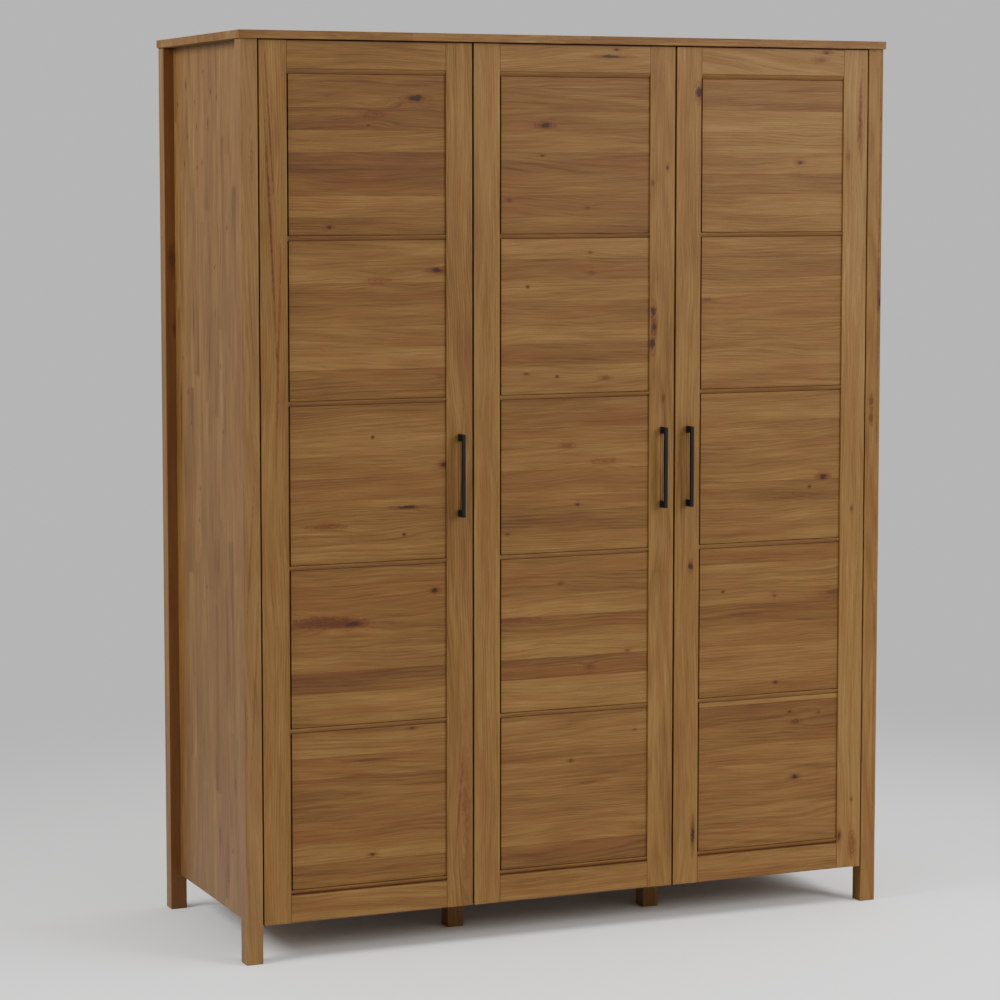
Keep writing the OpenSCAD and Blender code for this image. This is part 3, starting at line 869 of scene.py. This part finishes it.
def dress(node, material):
    """Gives a CAD node its material."""
    slots = frame["nodes"][node].data.materials
    slots.clear()
    slots.append(material)


def soften(node, width=1.0 * MM, segments=2):
    """Rounds a CAD node's edges a little, as sanding does."""
    piece = frame["nodes"][node]
    weld = piece.modifiers.new("weld", "WELD")
    weld.merge_threshold = 0.01 * MM
    bevel = piece.modifiers.new("bevel", "BEVEL")
    bevel.width = width
    bevel.segments = segments
    bevel.limit_method = "ANGLE"
    bevel.angle_limit = math.radians(40)
    bevel.harden_normals = True


def dress_carcass():
    """Posts, panels, legs and shelves."""
    posts = ("front_left_post", "front_right_post", "back_left_post", "back_right_post")
    for seed, node in enumerate(posts):
        # painted shade on the back left post's front face, which sits in the shaded recess beside the
        # side panel
        recess_shade = 0.9 if node == "back_left_post" else 0.0
        gloss = 0.2 if node == "front_right_post" else 0.34
        dress(node, oak(node, Z, X, Y, 11 + seed, shade=0.085, recess_shade=recess_shade, gloss=gloss))
        soften(node, 1.2 * MM)
    for seed, node in enumerate(("left_side_panel", "right_side_panel")):
        side = oak(node, Z, Y, X, 21 + seed, shade=0.005, mosaic=True, speckled=0.10, gloss=0.36)
        dress(node, side)
        soften(node, 0.6 * MM)
    top = oak("top_panel", X, Y, Z, 31, shade=0.10, mosaic=True, speckled=0.05, joint=0.2)
    dress("top_panel", top)
    soften("top_panel", 1.2 * MM)
    dress("bottom_panel", oak("bottom_panel", X, Y, Z, 32, mosaic=True, speckled=0.05))
    dress("partition", oak("partition", Z, Y, X, 33, mosaic=True, speckled=0.05))
    dress("left_shelves", oak("left_shelves", X, Y, Z, 34, mosaic=True, speckled=0.05))
    dress("hat_shelf", oak("hat_shelf", X, Y, Z, 35, mosaic=True, speckled=0.05))
    dress("middle_legs", oak("middle_legs", Z, X, Y, 36))
    dress("top_front_rail", oak("top_front_rail", X, Z, Y, 37))
    dress("back_rails", oak("back_rails", X, Z, Y, 38))
    for node in ("bottom_panel", "left_shelves", "hat_shelf"):
        soften(node)
    for node in ("middle_legs", "top_front_rail", "back_rails"):
        soften(node)
    for seed, node in enumerate(("left_back_panel", "right_back_panel")):
        dress(node, plywood(node, Z, X, Y, 41 + seed))


def dress_door(door, seed):
    """Stiles, rails, bars, boards and the handle of one door."""
    for offset, part in enumerate(("hinge_stile", "lock_stile")):
        node = f"{door}_{part}"
        dress(node, oak(node, Z, X, Y, seed + offset, shade=0.06, joint=0))
        soften(node, 0.8 * MM)
    for offset, part in enumerate(("top_rail", "bottom_rail")):
        node = f"{door}_{part}"
        dress(node, oak(node, X, Z, Y, seed + 2 + offset, shade=0.045, joint=0.85))
        soften(node, 0.8 * MM)
    bars = door + "_bars"
    dress(bars, oak(bars, X, Z, Y, seed + 4, shade=0.07, red=0.12, joint=0))
    soften(bars, 0.4 * MM)
    for index, letters in enumerate(STAVES[door]):
        node = f"{door}_board_{5 - index}"
        dress(node, oak(node, X, Z, Y, seed + 5 + index, letters=letters, speckled=0.012, joint=0))
    dress(door + "_handle", BLACK)
    soften(door + "_handle", 0.7 * MM, 3)
    dress(door + "_screws", NICKEL)
    dress(door + "_hinge_cups", NICKEL)


def link_points(path, edge, side, height, z):
    """The corners of one hinge link: a thin strip bent along a path measured from the door's corner."""
    rings = []
    for index, (x, y) in enumerate(path):
        before = Vector(path[max(index - 1, 0)])
        after = Vector(path[min(index + 1, len(path) - 1)])
        along = (after - before).normalized()
        out = Vector((along.y, -along.x)) * LINK_THICKNESS / 2
        ring = []
        for sign_out, sign_z in ((1, 1), (-1, 1), (-1, -1), (1, -1)):
            flat = Vector((x, y)) + out * sign_out
            ring.append(Vector((edge.x + side * flat.x, edge.y + flat.y, z + sign_z * height / 2)))
        rings.append(ring)
    return rings


def smooth_path(points):
    """A smooth curve through points, by Catmull and Rom's rule."""
    result = []
    for index in range(len(points) - 1):
        a = Vector(points[max(index - 1, 0)])
        b = Vector(points[index])
        c = Vector(points[index + 1])
        d = Vector(points[min(index + 2, len(points) - 1)])
        for step in range(PATH_STEPS):
            t = step / PATH_STEPS
            slope = c - a
            bow = 2 * a - 5 * b + 4 * c - d
            twist = 3 * b - a - 3 * c + d
            spot = 0.5 * (2 * b + slope * t + bow * t**2 + twist * t**3)
            result.append(tuple(spot))
    result.append(tuple(points[-1]))
    return result


def in_metres(path):
    """A path given in millimetres, in metres."""
    return tuple((x * MM, y * MM) for x, y in path)


def make_hinge_links(door, edge, side):
    """The two bent links of each of a door's hinges, from the arm's tip round into the cup."""
    outer, inner = in_metres(OUTER_LINK), in_metres(INNER_LINK)
    low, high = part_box(door + "_hinge_stile")
    first = low[Z] + HINGE_END
    step = (high[Z] - low[Z] - 2 * HINGE_END) / (HINGES - 1)
    mesh = bpy.data.meshes.new(door + "_hinge_links")
    form = bmesh.new()
    for z in (first + step * index for index in range(HINGES)):
        for path, height in ((outer, OUTER_LINK_HEIGHT), (inner, INNER_LINK_HEIGHT)):
            strip = link_points(smooth_path(path), edge, side, height, z)
            rings = [[form.verts.new(corner) for corner in ring] for ring in strip]
            for one, two in zip(rings, rings[1:]):
                for k in range(4):
                    form.faces.new((one[k], one[(k + 1) % 4], two[(k + 1) % 4], two[k]))
            form.faces.new(rings[0][::-1])
            form.faces.new(rings[-1])
    bmesh.ops.recalc_face_normals(form, faces=form.faces)
    form.to_mesh(mesh)
    form.free()
    links = bpy.data.objects.new(door + "_hinge_links", mesh)
    bpy.context.collection.objects.link(links)
    mesh.materials.append(NICKEL)
    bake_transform(links)


make_camera()
make_world()
make_lights()
make_floor()
GRAIN = make_grain_group()
BLACK = black_paint()
NICKEL = steel("nickel", (0.62, 0.61, 0.59), 0.30, (30, 900, 900))
CHROME = steel("chrome", (0.72, 0.72, 0.73), 0.14, (900, 30, 900))
dress_carcass()
for number, door_name in enumerate(DOORS):
    dress_door(door_name, 100 + 20 * number)
for joint in frame["joints"]:
    make_hinge_links(joint["child"], Vector(joint["pos_m"]), -joint["axis"][Z])
for metal_node in ("shelf_pins", "hinge_plates", "hinge_arms"):
    dress(metal_node, NICKEL)
for metal_node in ("hanging_rail", "rail_sockets"):
    dress(metal_node, CHROME)
